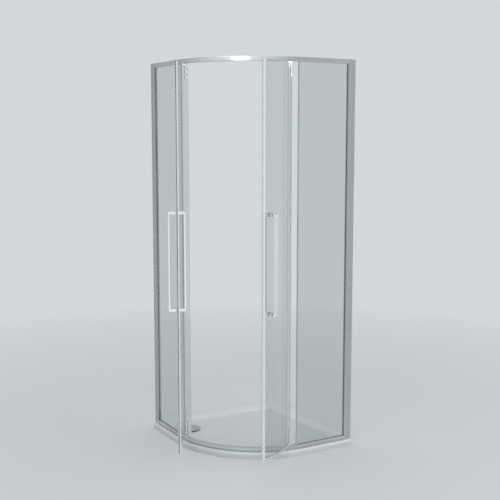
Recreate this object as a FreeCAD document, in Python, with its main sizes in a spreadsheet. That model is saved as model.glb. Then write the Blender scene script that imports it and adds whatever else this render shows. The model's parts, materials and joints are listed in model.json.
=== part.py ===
"""Quadrant shower cabin: low tray, two fixed panes and two curved doors on clamp pivots.

Millimetres, +Z up. The origin is on the floor, at the middle of the tray's square outline.
The walls stand at the tray's +X and +Y edges. The doors are drawn open, each at its own angle.
"""

import FreeCAD, Part
import math
import os
import Sketcher

doc = FreeCAD.newDocument("shower_cabin")
sheet = doc.addObject("Spreadsheet::Sheet", "Sizes")

# Driving dimensions in millimetres, angles in degrees
DRIVING = {
    # tray
    "tray_side": 800,
    "corner_radius": 500,
    "tray_height": 33,
    "tray_edge_round": 4,
    "tray_wall_corner": 6,
    "rim_width": 75,
    "basin_depth": 10,
    "basin_flank_angle": 55,
    "basin_corner": 40,
    # waste
    "waste_side_distance": 144,
    "waste_back_distance": 180,
    "waste_hole_radius": 45,
    "dish_radius": 90,
    "dish_fall": 3,
    "recess_radius": 57,
    "recess_depth": 3.5,
    "waste_gasket": 1.5,
    "flange_radius": 56,
    "flange_thick": 2,
    "throat_wall": 3.5,
    "throat_clearance": 0.4,
    "outlet_wall": 1.5,
    "outlet_depth": 8,
    "outlet_lift": 2,
    "cover_radius": 54,
    "cover_thick": 2,
    "cover_dome": 1.6,
    "cover_edge": 1,
    "cover_gap": 4,
    "cover_leg_width": 7,
    "cover_leg_inner": 28,
    "cover_leg_outer": 48,
    "cover_leg_reach": 6,
    "cover_clearance": 0.4,
    "cover_rest_gap": 0.1,
    # rails and wall profiles
    "enclosure_height": 2000,
    "frame_inset": 10,
    "rail_width": 24,
    "rail_height": 22,
    "rail_bevel": 1.5,
    "groove_width": 9,
    "groove_depth": 12,
    "wall_gap": 23,
    "stile_width": 20,
    "stile_wall": 2,
    "stile_web": 2,
    "stile_groove": 7,
    "channel_end_gap": 3,
    "channel_wall": 1.8,
    "slide_clearance": 0.3,
    "lip_width": 8,
    "lip_clearance": 0.2,
    "cap_thick": 2,
    "cap_plug": 8,
    "wall_hole_radius": 3,
    "wall_hole_inset": 100,
    # screws of the frame
    "screw_radius": 1.75,
    "screw_head_radius": 3.2,
    "screw_head_height": 2.2,
    "screw_play": 0.2,
    "stile_screw_inset": 180,
    "stile_screw_length": 7,
    "rail_screw_length": 24,
    # panes
    "glass_thick": 6,
    "glass_end_gap": 1,
    "pane_arc_angle": 4.7,
    "edge_seal_nose": 2,
    "edge_seal_clip": 3,
    "edge_seal_wall": 1,
    # pivots
    "pivot_arc_angle": 10,
    "right_open_angle": 58,
    "left_open_angle": 62,
    "block_clearance": 0.1,
    "block_gap": 0.5,
    "collar_radius": 7.5,
    "collar_height": 1.2,
    "thrust_gap": 0.3,
    "pin_radius": 3,
    "pin_reach": 10,
    "pin_clearance": 0.05,
    "pin_seat": 0.02,
    "pin_end_gap": 0.5,
    # hinges
    "hinge_width": 26,
    "hinge_height": 78,
    "hinge_plate": 5,
    "hinge_gasket": 0.6,
    "hinge_seat_gap": 0.2,
    "hinge_head": 7,
    "hinge_bevel": 1,
    "head_gap": 0.5,
    "hinge_screw_radius": 2.5,
    "hinge_screw_head_radius": 4.5,
    "hinge_screw_head_height": 3,
    "hinge_screw_bite": 4.5,
    "hinge_screw_spacing": 32,
    "hinge_glass_hole": 5,
    # doors
    "tail_length": 34,
    "strip_gap": 0.3,
    "strip_nose": 5,
    "strip_clip": 7,
    "strip_wall": 3,
    "strip_clearance": 0.1,
    "drip_clip": 10,
    "drip_wall": 1.5,
    "drip_web": 1.5,
    "drip_fin": 2,
    "drip_floor_gap": 2,
    "drip_end_gap": 1,
    # handles
    "handle_height": 500,
    "handle_centre": 1030,
    "handle_width": 22,
    "handle_bar": 10,
    "handle_reach": 44,
    "handle_leg": 16,
    "handle_bevel": 1,
    "handle_edge_distance": 53,
    "handle_gasket": 1,
    "handle_seat_gap": 0.15,
    "stud_radius": 4,
    "stud_depth": 14,
    "stud_play": 0.05,
    "stud_glass_hole": 6,
}

for row, (alias, number) in enumerate(DRIVING.items(), 1):
    sheet.set(f"A{row}", alias)
    sheet.set(f"B{row}", str(number))
    sheet.setAlias(f"B{row}", alias)
doc.recompute()


class Size:
    """A length or angle, kept as an expression on the sheet and as its present value."""

    def __init__(self, text, value):
        self.text = text
        self.value = value

    def __add__(self, other):
        other = as_size(other)
        return Size(f"({self.text} + {other.text})", self.value + other.value)

    def __sub__(self, other):
        other = as_size(other)
        return Size(f"({self.text} - {other.text})", self.value - other.value)

    def __mul__(self, other):
        other = as_size(other)
        return Size(f"({self.text} * {other.text})", self.value * other.value)

    def __truediv__(self, other):
        other = as_size(other)
        return Size(f"({self.text} / {other.text})", self.value / other.value)

    def __neg__(self):
        return Size(f"(-{self.text})", -self.value)


def as_size(item):
    """Turns a plain number into a size."""
    if isinstance(item, Size):
        return item
    return Size(f"({item})", item)


def cosine(angle):
    return Size(f"cos({angle.text})", math.cos(math.radians(angle.value)))


def sine(angle):
    return Size(f"sin({angle.text})", math.sin(math.radians(angle.value)))


class Sheet:
    """Gives each driving dimension by its alias."""

    def __getattr__(self, alias):
        return Size(f"Sizes.{alias}", float(sheet.get(alias)))


S = Sheet()
ZERO = as_size(0)

# Lines and levels that many pieces share
GLASS_RADIUS = S.corner_radius - S.frame_inset - S.rail_width / 2
ARC_CENTRE = S.corner_radius - S.tray_side / 2
HALF_GLASS = S.glass_thick / 2
HALF_RAIL = S.rail_width / 2
HALF_GROOVE = S.groove_width / 2
WALL = S.tray_side - S.corner_radius
STILE_OUT = WALL - S.wall_gap
STILE_IN = STILE_OUT - S.stile_width
STILE_GROOVE_END = STILE_IN + S.stile_groove
SOCKET_END = STILE_GROOVE_END + S.stile_web
HALF_SOCKET = HALF_RAIL - S.stile_wall
HALF_CHANNEL = HALF_SOCKET - S.slide_clearance
CHANNEL_TIP = SOCKET_END + S.channel_end_gap
SILL = S.tray_height + S.rail_height
TOP = S.tray_height + S.enclosure_height
LINTEL = TOP - S.rail_height
STILE_TOP = TOP - S.cap_thick
PANE_BOTTOM = SILL - S.groove_depth + S.glass_end_gap
PANE_TOP = LINTEL + S.groove_depth - S.glass_end_gap
HEAD_LIFT = S.collar_height + S.thrust_gap
LOW_HEAD = SILL + HEAD_LIFT
HIGH_HEAD = LINTEL - HEAD_LIFT
DOOR_BOTTOM = LOW_HEAD + S.hinge_head + S.head_gap
DOOR_TOP = HIGH_HEAD - S.hinge_head - S.head_gap
GASKET_IN = HALF_GLASS + S.hinge_seat_gap
GASKET_OUT = GASKET_IN + S.hinge_gasket
PLATE_IN = GASKET_OUT + S.hinge_seat_gap
PLATE_OUT = PLATE_IN + S.hinge_plate
DIAGONAL = as_size(45)
# How far a drill goes on past a curved face
DRILL_PAST = as_size(1)


def arc_angle(length):
    """The angle, in degrees, of a length measured along the glass line's arc."""
    return length / GLASS_RADIUS * (180 / math.pi)


DOOR_ARC = DIAGONAL - S.pivot_arc_angle
HINGE_HALF_ARC = arc_angle(S.hinge_width / 2)
EDGE_ARC = arc_angle(S.strip_gap + S.strip_nose)
TAIL_ARC = arc_angle(S.tail_length)
HANDLE_ARC = DOOR_ARC - arc_angle(S.handle_edge_distance)


class Frame:
    """A place in plan: local X points out through the glass, local Y runs along it."""

    def __init__(self, x, y, angle):
        self.x = x
        self.y = y
        self.angle = angle

    def turned(self, angle):
        return Frame(self.x, self.y, self.angle + angle)


class Side:
    """One half of the cabin. Its arc starts at an angle, and lead is the way along it to the door."""

    def __init__(self, name, start, lead, open_angle):
        self.name = name
        self.lead = lead
        self.frame = Frame(ARC_CENTRE, ARC_CENTRE, as_size(start))
        shut = self.frame.angle + S.pivot_arc_angle * lead
        swung = shut - open_angle * lead
        self.door = Frame(
            ARC_CENTRE + GLASS_RADIUS * (cosine(shut) - cosine(swung)),
            ARC_CENTRE + GLASS_RADIUS * (sine(shut) - sine(swung)),
            swung,
        )


RIGHT = Side("right", 270, -1, S.right_open_angle)
LEFT = Side("left", 180, 1, S.left_open_angle)
LOCAL = Frame(ZERO, ZERO, ZERO)
UP = FreeCAD.Vector(0, 0, 1)
subparts = []


def keep(item):
    """Marks a finished sub-part, which is written under its label."""
    subparts.append(item)
    return item


def move(item, x, y, z):
    for axis, size in zip("xyz", (x, y, z)):
        item.setExpression(f"Placement.Base.{axis}", size.text)


def place(item, frame, height=ZERO):
    """Sets an object into a frame, at a height."""
    item.Placement.Rotation = FreeCAD.Rotation(UP, frame.angle.value)
    move(item, frame.x, frame.y, height)
    item.setExpression("Placement.Rotation.Angle", frame.angle.text)
    return item


def new_body(label):
    return doc.addObject("PartDesign::Body", label)


def new_sketch(body, role, name, height=ZERO):
    """A sketch on one of the body's own planes, lifted off it by a height."""
    sketch = body.newObject("Sketcher::SketchObject", f"{body.Name}_{name}")
    plane = next(item for item in body.Origin.OriginFeatures if item.Role == role)
    sketch.AttachmentSupport = [(plane, "")]
    sketch.MapMode = "FlatFace"
    sketch.setExpression("AttachmentOffset.Base.z", height.text)
    return sketch


def bind(sketch, kind, *arguments):
    """Adds a constraint whose last argument is a size."""
    size = arguments[-1]
    index = sketch.addConstraint(Sketcher.Constraint(kind, *arguments[:-1], size.value))
    sketch.setExpression(f"Constraints[{index}]", size.text)


def bind_angle(sketch, edge, size):
    index = sketch.addConstraint(Sketcher.Constraint("Angle", edge, math.radians(size.value)))
    sketch.setExpression(f"Constraints[{index}]", f"{size.text} * 1 deg")


def polygon(sketch, points):
    """A closed outline whose corners are all measured from the sketch's origin."""
    corners = [FreeCAD.Vector(u.value, v.value, 0) for u, v in points]
    count = len(corners)
    for start in range(count):
        sketch.addGeometry(Part.LineSegment(corners[start], corners[(start + 1) % count]), False)
    for edge in range(count):
        sketch.addConstraint(Sketcher.Constraint("Coincident", edge, 2, (edge + 1) % count, 1))
    for edge, (u, v) in enumerate(points):
        bind(sketch, "DistanceX", -1, 1, edge, 1, u)
        bind(sketch, "DistanceY", -1, 1, edge, 1, v)
    return sketch


def rectangle(low_u, high_u, low_v, high_v):
    return [(low_u, low_v), (high_u, low_v), (high_u, high_v), (low_u, high_v)]


def pad(body, sketch, length, symmetric=False, reverse=False):
    feature = body.newObject("PartDesign::Pad", sketch.Name + "_pad")
    feature.Profile = sketch
    feature.setExpression("Length", length.text)
    feature.Midplane = symmetric
    feature.Reversed = reverse
    return feature


def slab(label, points, bottom, height):
    """An upright extrusion of an outline drawn in plan."""
    body = new_body(label)
    pad(body, polygon(new_sketch(body, "XY_Plane", "plan", bottom), points), height)
    return body


def sector(label, points, sweep):
    """A section in radius and height, turned about the arc's centre, half of the sweep each way."""
    body = new_body(label)
    sketch = polygon(new_sketch(body, "XZ_Plane", "section"), points)
    turn = body.newObject("PartDesign::Revolution", label + "_turn")
    turn.Profile = sketch
    turn.ReferenceAxis = (sketch, ["V_Axis"])
    turn.setExpression("Angle", sweep.text)
    turn.Midplane = True
    return body


def glass_path(body, lead, start, arc=None):
    """The glass line: straight from a distance off the arc's start, then along the arc.

    Without an arc angle it goes on round the quarter and down the other side by the same distance.
    """
    path = new_sketch(body, "XY_Plane", "path")
    radius = GLASS_RADIUS.value
    sweep = math.pi / 2 if arc is None else math.radians(arc.value)
    angles = (0, sweep) if lead > 0 else (-sweep, 0)
    near, far = (1, 2) if lead > 0 else (2, 1)
    origin = FreeCAD.Vector()
    turn = FreeCAD.Vector(radius, 0, 0)
    first = FreeCAD.Vector(radius, -lead * start.value, 0)
    path.addGeometry(Part.LineSegment(first, turn), False)
    path.addGeometry(Part.ArcOfCircle(Part.Circle(origin, UP, radius), *angles), False)
    path.addConstraint(Sketcher.Constraint("Coincident", 1, 3, -1, 1))
    path.addConstraint(Sketcher.Constraint("Tangent", 0, 2, 1, near))
    path.addConstraint(Sketcher.Constraint("Vertical", 0))
    bind(path, "Radius", 1, GLASS_RADIUS)
    bind(path, "DistanceY", -1, 1, 0, 1, start * -lead)
    if arc is not None:
        bind_angle(path, 1, arc)
        return path
    leave = FreeCAD.Vector(0, lead * radius, 0)
    last = FreeCAD.Vector(-start.value, lead * radius, 0)
    path.addGeometry(Part.LineSegment(leave, last), False)
    path.addConstraint(Sketcher.Constraint("Tangent", 1, far, 2, 1))
    path.addConstraint(Sketcher.Constraint("Horizontal", 2))
    bind(path, "DistanceX", -1, 1, 2, 2, -start)
    return path


def sweep_along_glass(label, points, lead, start, arc=None):
    """A section in radius and height, swept along the glass line."""
    body = new_body(label)
    path = glass_path(body, lead, start, arc)
    section = polygon(new_sketch(body, "XZ_Plane", "section", start * lead), points)
    pipe = body.newObject("PartDesign::AdditivePipe", label + "_sweep")
    pipe.Profile = section
    pipe.Spine = (path, [])
    return body


def round_edges(body, wanted, size, kind="Fillet"):
    """Rounds or bevels those edges of the body's last feature that the test picks."""
    doc.recompute()
    base = body.Tip
    names = [f"Edge{number}" for number, edge in enumerate(base.Shape.Edges, 1) if wanted(edge)]
    feature = body.newObject(f"PartDesign::{kind}", f"{body.Name}_{kind.lower()}")
    feature.Base = (base, names)
    feature.setExpression("Radius" if kind == "Fillet" else "Size", size.text)


def cylinder(name, radius, height, x, y, z, axis=UP):
    """A round bar from a point along an axis."""
    item = doc.addObject("Part::Cylinder", name)
    item.setExpression("Radius", radius.text)
    item.setExpression("Height", height.text)
    item.Placement.Rotation = FreeCAD.Rotation(UP, axis)
    move(item, x, y, z)
    return item


def across(name, radius, low, high, z):
    """A bar along local X, between two distances from the arc's centre."""
    return cylinder(name, radius, high - low, low, ZERO, z, FreeCAD.Vector(1, 0, 0))


def beside(name, side, radius, offset, low, high, z):
    """A bar along the straight glass line, between two distances from the arc's start."""
    axis = FreeCAD.Vector(0, -side.lead, 0)
    return cylinder(name, radius, high - low, GLASS_RADIUS + offset, low * -side.lead, z, axis)


def group(label, members):
    item = doc.addObject("Part::Compound", label)
    item.Links = members
    return item


def fuse(label, base, tool):
    item = doc.addObject("Part::Fuse", label)
    item.Base = base
    item.Tool = tool
    return item


def cut(label, base, tools):
    """The base with the tools taken out of it."""
    item = doc.addObject("Part::Cut", label)
    item.Base = base
    item.Tool = group(label + "_tools", tools)
    return item


def in_plan(side, points):
    """Corners given as offset from the glass line and distance from the arc's start."""
    return [(GLASS_RADIUS + offset, along * -side.lead) for offset, along in points]


def quadrant(sketch, half, big_radius, small_radius):
    """A square with one large rounded corner, at -X -Y, and three small ones."""
    reach = half.value
    small = small_radius.value
    big = big_radius.value
    corners = [
        (-reach + big, -reach + big, big, 180),
        (reach - small, -reach + small, small, 270),
        (reach - small, reach - small, small, 0),
        (-reach + small, reach - small, small, 90),
    ]
    arcs = []
    for x, y, radius, start in corners:
        circle = Part.Circle(FreeCAD.Vector(x, y, 0), UP, radius)
        arcs.append(Part.ArcOfCircle(circle, math.radians(start), math.radians(start + 90)))
    for arc in arcs:
        sketch.addGeometry(arc, False)
    for here, arc in enumerate(arcs):
        following = arcs[(here + 1) % 4]
        sketch.addGeometry(Part.LineSegment(arc.EndPoint, following.StartPoint), False)
    for here in range(4):
        line = here + 4
        sketch.addConstraint(Sketcher.Constraint("Tangent", here, 2, line, 1))
        sketch.addConstraint(Sketcher.Constraint("Tangent", line, 2, (here + 1) % 4, 1))
        sketch.addConstraint(Sketcher.Constraint("Horizontal" if here % 2 == 0 else "Vertical", line))
        bind(sketch, "Radius", here, small_radius if here else big_radius)
    bind(sketch, "DistanceY", -1, 1, 4, 1, -half)
    bind(sketch, "DistanceX", -1, 1, 5, 1, half)
    bind(sketch, "DistanceY", -1, 1, 6, 1, half)
    bind(sketch, "DistanceX", -1, 1, 7, 1, -half)
    return sketch


# Levels and place of the waste
WASTE_X = S.waste_side_distance - S.tray_side / 2
WASTE_Y = S.tray_side / 2 - S.waste_back_distance
BASIN_FLOOR = S.tray_height - S.basin_depth
DISH_FLOOR = BASIN_FLOOR - S.dish_fall
RECESS_FLOOR = DISH_FLOOR - S.recess_depth
FLANGE_BOTTOM = RECESS_FLOOR + S.waste_gasket
FLANGE_TOP = FLANGE_BOTTOM + S.flange_thick
TUBE_RADIUS = S.waste_hole_radius - S.throat_clearance
THROAT_RADIUS = TUBE_RADIUS - S.throat_wall
OUTLET_RADIUS = TUBE_RADIUS - S.outlet_wall
COVER_BOTTOM = FLANGE_TOP + S.cover_gap
WASTE = Frame(WASTE_X, WASTE_Y, ZERO)
FULL_TURN = as_size(360)


def shower_tray():
    """Solid cast tray: a flat rim, a shallow basin, and a dished seat for the waste."""
    body = new_body("tray_blank")
    outline = new_sketch(body, "XY_Plane", "outline")
    quadrant(outline, S.tray_side / 2, S.corner_radius, S.tray_wall_corner)
    pad(body, outline, S.tray_height)
    top = S.tray_height.value
    round_edges(body, lambda edge: edge.BoundBox.ZMin > top - 0.01, S.tray_edge_round)
    basin = new_sketch(body, "XY_Plane", "basin", S.tray_height)
    quadrant(basin, S.tray_side / 2 - S.rim_width, S.corner_radius - S.rim_width, S.basin_corner)
    pocket = body.newObject("PartDesign::Pocket", "tray_basin")
    pocket.Profile = basin
    pocket.setExpression("Length", S.basin_depth.text)
    pocket.setExpression("TaperAngle", f"-{S.basin_flank_angle.text}")
    dish = doc.addObject("Part::Cone", "tray_dish")
    dish.setExpression("Radius1", S.recess_radius.text)
    dish.setExpression("Radius2", S.dish_radius.text)
    dish.setExpression("Height", S.dish_fall.text)
    move(dish, WASTE_X, WASTE_Y, DISH_FLOOR)
    recess = cylinder("tray_recess", S.recess_radius, S.recess_depth, WASTE_X, WASTE_Y, RECESS_FLOOR)
    hole = cylinder("tray_hole", S.waste_hole_radius, RECESS_FLOOR, WASTE_X, WASTE_Y, ZERO)
    keep(cut("shower_tray", body, [dish, recess, hole]))


def waste():
    """Gasket and flange that sit in the tray, and the cover that lifts out of the throat."""
    gasket = sector(
        "waste_gasket",
        rectangle(S.waste_hole_radius, S.flange_radius, RECESS_FLOOR, FLANGE_BOTTOM),
        FULL_TURN,
    )
    outlet_top = S.outlet_lift + S.outlet_depth
    flange = sector(
        "waste_flange",
        [
            (OUTLET_RADIUS, S.outlet_lift),
            (TUBE_RADIUS, S.outlet_lift),
            (TUBE_RADIUS, FLANGE_BOTTOM),
            (S.flange_radius, FLANGE_BOTTOM),
            (S.flange_radius, FLANGE_TOP),
            (THROAT_RADIUS, FLANGE_TOP),
            (THROAT_RADIUS, outlet_top),
            (OUTLET_RADIUS, outlet_top),
        ],
        FULL_TURN,
    )
    crown = COVER_BOTTOM + S.cover_thick
    cover = sector(
        "waste_cover",
        [
            (ZERO, COVER_BOTTOM),
            (S.cover_radius, COVER_BOTTOM),
            (S.cover_radius, crown - S.cover_edge),
            (S.cover_radius - S.cover_edge, crown),
            (S.cover_radius * 0.6, crown + S.cover_dome * 0.7),
            (ZERO, crown + S.cover_dome),
        ],
        FULL_TURN,
    )
    guide = THROAT_RADIUS - S.cover_clearance
    seat = FLANGE_TOP + S.cover_rest_gap
    leg = polygon(
        new_sketch(cover, "XZ_Plane", "leg"),
        [
            (S.cover_leg_inner, COVER_BOTTOM),
            (S.cover_leg_outer, COVER_BOTTOM),
            (S.cover_leg_outer, seat),
            (guide, seat),
            (guide, FLANGE_TOP - S.cover_leg_reach),
            (S.cover_leg_inner, FLANGE_TOP - S.cover_leg_reach),
        ],
    )
    leg_pad = pad(cover, leg, S.cover_leg_width, symmetric=True)
    legs = cover.newObject("PartDesign::PolarPattern", "waste_cover_legs")
    legs.Originals = [leg_pad]
    legs.Axis = (leg, ["V_Axis"])
    legs.Angle = 360
    legs.Occurrences = 3
    cover.Tip = legs
    for item in (gasket, flange, cover):
        keep(place(item, WASTE))


def rail_section(open_side, closed_side, bevel):
    """Section of a rail: bevelled outer corners and a groove in the open side."""
    inward = S.groove_depth if open_side.value < closed_side.value else -S.groove_depth
    edge = S.rail_bevel * bevel
    points = [
        (-HALF_RAIL, open_side + edge),
        (-HALF_RAIL + S.rail_bevel, open_side),
        (-HALF_GROOVE, open_side),
        (-HALF_GROOVE, open_side + inward),
        (HALF_GROOVE, open_side + inward),
        (HALF_GROOVE, open_side),
        (HALF_RAIL - S.rail_bevel, open_side),
        (HALF_RAIL, open_side + edge),
        (HALF_RAIL, closed_side - edge),
        (HALF_RAIL - S.rail_bevel, closed_side),
        (-HALF_RAIL + S.rail_bevel, closed_side),
        (-HALF_RAIL, closed_side - edge),
    ]
    return [(GLASS_RADIUS + offset, level) for offset, level in points]


LOW_SCREW = S.tray_height + (S.rail_height - S.groove_depth) / 2
HIGH_SCREW = TOP - (S.rail_height - S.groove_depth + S.cap_thick) / 2
RAIL_SCREW_TIP = SOCKET_END - S.rail_screw_length


def rails():
    """Top and bottom rails, swept along the glass line from stile to stile, and their inserts."""
    block_end = S.pivot_arc_angle + HINGE_HALF_ARC + arc_angle(S.block_gap)
    half = HALF_GROOVE - S.block_clearance
    for name, open_side, closed_side, bevel, screw in (
        ("top", LINTEL, TOP, 1, HIGH_SCREW),
        ("bottom", SILL, S.tray_height, -1, LOW_SCREW),
    ):
        section = rail_section(open_side, closed_side, bevel)
        bar = sweep_along_glass(f"{name}_rail_bar", section, RIGHT.lead, STILE_IN)
        pilots = []
        for side in (RIGHT, LEFT):
            label = f"{name}_{side.name}_pilot"
            pilot = beside(label, side, S.screw_radius, ZERO, RAIL_SCREW_TIP, STILE_IN, screw)
            turn = LOCAL.turned(side.frame.angle - RIGHT.frame.angle)
            pilots.append(place(group(label + "_turned", [pilot]), turn))
        keep(place(cut(f"{name}_rail", bar, pilots), RIGHT.frame))
        floor = open_side + S.groove_depth * bevel
        insert = sector(
            f"{name}_rail_insert",
            rectangle(GLASS_RADIUS - half, GLASS_RADIUS + half, open_side, floor),
            as_size(90) - block_end * 2,
        )
        keep(place(insert, RIGHT.frame.turned(DIAGONAL * RIGHT.lead)))


def pivot_blocks():
    """Blocks in the rails' grooves, each with a raised collar round its pivot hole."""
    first = S.pane_arc_angle + arc_angle(S.edge_seal_nose + S.block_gap)
    last = S.pivot_arc_angle + HINGE_HALF_ARC
    half = HALF_GROOVE - S.block_clearance
    hole_depth = S.pin_reach + S.pin_end_gap + HEAD_LIFT
    blocks = []
    for side in (RIGHT, LEFT):
        for name, floor, face, collar, hole in (
            ("low", SILL - S.groove_depth, SILL, SILL, LOW_HEAD - hole_depth),
            ("high", LINTEL + S.groove_depth, LINTEL, LINTEL - S.collar_height, HIGH_HEAD),
        ):
            label = f"{side.name}_{name}_block"
            x = GLASS_RADIUS * cosine(S.pivot_arc_angle)
            y = GLASS_RADIUS * sine(S.pivot_arc_angle) * side.lead
            bar = sector(
                label + "_bar",
                rectangle(GLASS_RADIUS - half, GLASS_RADIUS + half, floor, face),
                last - first,
            )
            place(bar, LOCAL.turned((first + last) / 2 * side.lead))
            ring = cylinder(label + "_collar", S.collar_radius, S.collar_height, x, y, collar)
            bore = cylinder(label + "_bore", S.pin_radius + S.pin_clearance, hole_depth, x, y, hole)
            blocks.append(place(cut(label, fuse(label + "_solid", bar, ring), [bore]), side.frame))
    keep(group("pivot_blocks", blocks))


STILE_SCREW_ALONG = (SOCKET_END + STILE_OUT) / 2
STILE_SCREW_LEVELS = [
    S.tray_height + S.enclosure_height / 2,
    S.tray_height + S.stile_screw_inset,
    TOP - S.stile_screw_inset,
]
WALL_HOLE_STEP = (S.enclosure_height - S.wall_hole_inset * 2) / 3


def stile_screw_bars(side, name, radius, low, high):
    """Bars at the locking screws' places, between two offsets from the glass line."""
    bars = []
    for number, level in enumerate(STILE_SCREW_LEVELS):
        bar = across(f"{side.name}_{name}_{number}", radius, GLASS_RADIUS + low, GLASS_RADIUS + high, level)
        bar.setExpression("Placement.Base.y", (STILE_SCREW_ALONG * -side.lead).text)
        bars.append(bar)
    return bars


def wall_profile(side):
    """Wall channel, the stile that slides over it, its cap, its screws, its lips and its gasket."""
    height = STILE_TOP - S.tray_height
    inner = HALF_CHANNEL - S.channel_wall
    back = WALL - S.channel_wall
    channel = slab(
        f"{side.name}_channel_bar",
        in_plan(side, [
            (HALF_CHANNEL, CHANNEL_TIP),
            (HALF_CHANNEL, WALL),
            (-HALF_CHANNEL, WALL),
            (-HALF_CHANNEL, CHANNEL_TIP),
            (-inner, CHANNEL_TIP),
            (-inner, back),
            (inner, back),
            (inner, CHANNEL_TIP),
        ]),
        S.tray_height,
        height,
    )
    holes = []
    for number in range(4):
        label = f"{side.name}_wall_hole_{number}"
        level = S.tray_height + S.wall_hole_inset + WALL_HOLE_STEP * number
        holes.append(beside(label, side, S.wall_hole_radius, ZERO, back, WALL, level))
    bite = stile_screw_bars(side, "channel_pilot", S.screw_radius, -HALF_CHANNEL, -inner)
    keep(place(cut(f"{side.name}_wall_channel", channel, holes + bite), side.frame))

    stile = slab(
        f"{side.name}_stile_bar",
        in_plan(side, [
            (HALF_RAIL, STILE_OUT),
            (HALF_RAIL, STILE_IN),
            (HALF_GROOVE, STILE_IN),
            (HALF_GROOVE, STILE_GROOVE_END),
            (-HALF_GROOVE, STILE_GROOVE_END),
            (-HALF_GROOVE, STILE_IN),
            (-HALF_RAIL, STILE_IN),
            (-HALF_RAIL, STILE_OUT),
            (-HALF_SOCKET, STILE_OUT),
            (-HALF_SOCKET, SOCKET_END),
            (HALF_SOCKET, SOCKET_END),
            (HALF_SOCKET, STILE_OUT),
        ]),
        S.tray_height,
        height,
    )
    rail_holes = [
        beside(f"{side.name}_web_hole_{name}", side, S.screw_radius + S.screw_play, ZERO,
               STILE_GROOVE_END, SOCKET_END, level)
        for name, level in (("low", LOW_SCREW), ("high", HIGH_SCREW))
    ]
    passage = stile_screw_bars(side, "stile_hole", S.screw_radius + S.screw_play, -HALF_RAIL, -HALF_SOCKET)
    keep(place(cut(f"{side.name}_stile", stile, rail_holes + passage), side.frame))

    cap = slab(
        f"{side.name}_stile_cap",
        in_plan(side, [
            (HALF_RAIL, STILE_IN),
            (HALF_RAIL, STILE_OUT),
            (HALF_CHANNEL, STILE_OUT),
            (HALF_CHANNEL, WALL),
            (-HALF_CHANNEL, WALL),
            (-HALF_CHANNEL, STILE_OUT),
            (-HALF_RAIL, STILE_OUT),
            (-HALF_RAIL, STILE_IN),
        ]),
        STILE_TOP,
        S.cap_thick,
    )
    plug_side = inner - S.slide_clearance
    plug = new_sketch(cap, "XY_Plane", "plug", STILE_TOP)
    polygon(plug, in_plan(side, rectangle(-plug_side, plug_side, CHANNEL_TIP, back - S.slide_clearance)))
    pad(cap, plug, S.cap_plug, reverse=True)
    keep(place(cap, side.frame))

    head_low = -HALF_RAIL - S.screw_head_height
    tip = -HALF_RAIL + S.stile_screw_length
    shanks = stile_screw_bars(side, "lock_shank", S.screw_radius, -HALF_RAIL, tip)
    heads = stile_screw_bars(side, "lock_head", S.screw_head_radius, head_low, -HALF_RAIL)
    screws = [fuse(shank.Name + "_screw", shank, head) for shank, head in zip(shanks, heads)]
    keep(place(group(f"{side.name}_stile_screws", screws), side.frame))

    lips = []
    for face, way in (("outer", 1), ("inner", -1)):
        low, high = sorted(
            (HALF_CHANNEL * way, (HALF_RAIL - S.lip_clearance) * way), key=lambda size: size.value
        )
        outline = in_plan(side, rectangle(low, high, STILE_OUT, STILE_OUT + S.lip_width))
        lips.append(slab(f"{side.name}_{face}_lip", outline, S.tray_height, height))
    keep(place(group(f"{side.name}_stile_lips", lips), side.frame))

    glass_end = STILE_GROOVE_END - S.glass_end_gap
    gasket = slab(
        f"{side.name}_stile_gasket",
        in_plan(side, [
            (HALF_GROOVE, STILE_IN),
            (HALF_GROOVE, STILE_GROOVE_END),
            (-HALF_GROOVE, STILE_GROOVE_END),
            (-HALF_GROOVE, STILE_IN),
            (-HALF_GLASS, STILE_IN),
            (-HALF_GLASS, glass_end),
            (HALF_GLASS, glass_end),
            (HALF_GLASS, STILE_IN),
        ]),
        PANE_BOTTOM,
        PANE_TOP - PANE_BOTTOM,
    )
    keep(place(gasket, side.frame))


def rail_screws():
    """Screws that hold each rail's ends to the stiles."""
    screws = []
    for side in (RIGHT, LEFT):
        for name, level in (("low", LOW_SCREW), ("high", HIGH_SCREW)):
            label = f"{side.name}_{name}_rail_screw"
            shank = beside(label + "_shank", side, S.screw_radius, ZERO, RAIL_SCREW_TIP, SOCKET_END, level)
            head_end = SOCKET_END + S.screw_head_height
            head = beside(label + "_head", side, S.screw_head_radius, ZERO, SOCKET_END, head_end, level)
            screws.append(place(fuse(label, shank, head), side.frame))
    keep(group("rail_screws", screws))


def edge_strip(label, side, frame, nose, clip, thick, bottom, top):
    """A strip clipped over an upright glass edge, with a solid nose in front of the edge."""
    slot = HALF_GLASS + S.strip_clearance
    wall = slot + thick
    strip = slab(
        label,
        in_plan(side, [
            (wall, clip),
            (wall, -nose),
            (-wall, -nose),
            (-wall, clip),
            (-slot, clip),
            (-slot, ZERO),
            (slot, ZERO),
            (slot, clip),
        ]),
        bottom,
        top - bottom,
    )
    keep(place(strip, frame))


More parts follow.
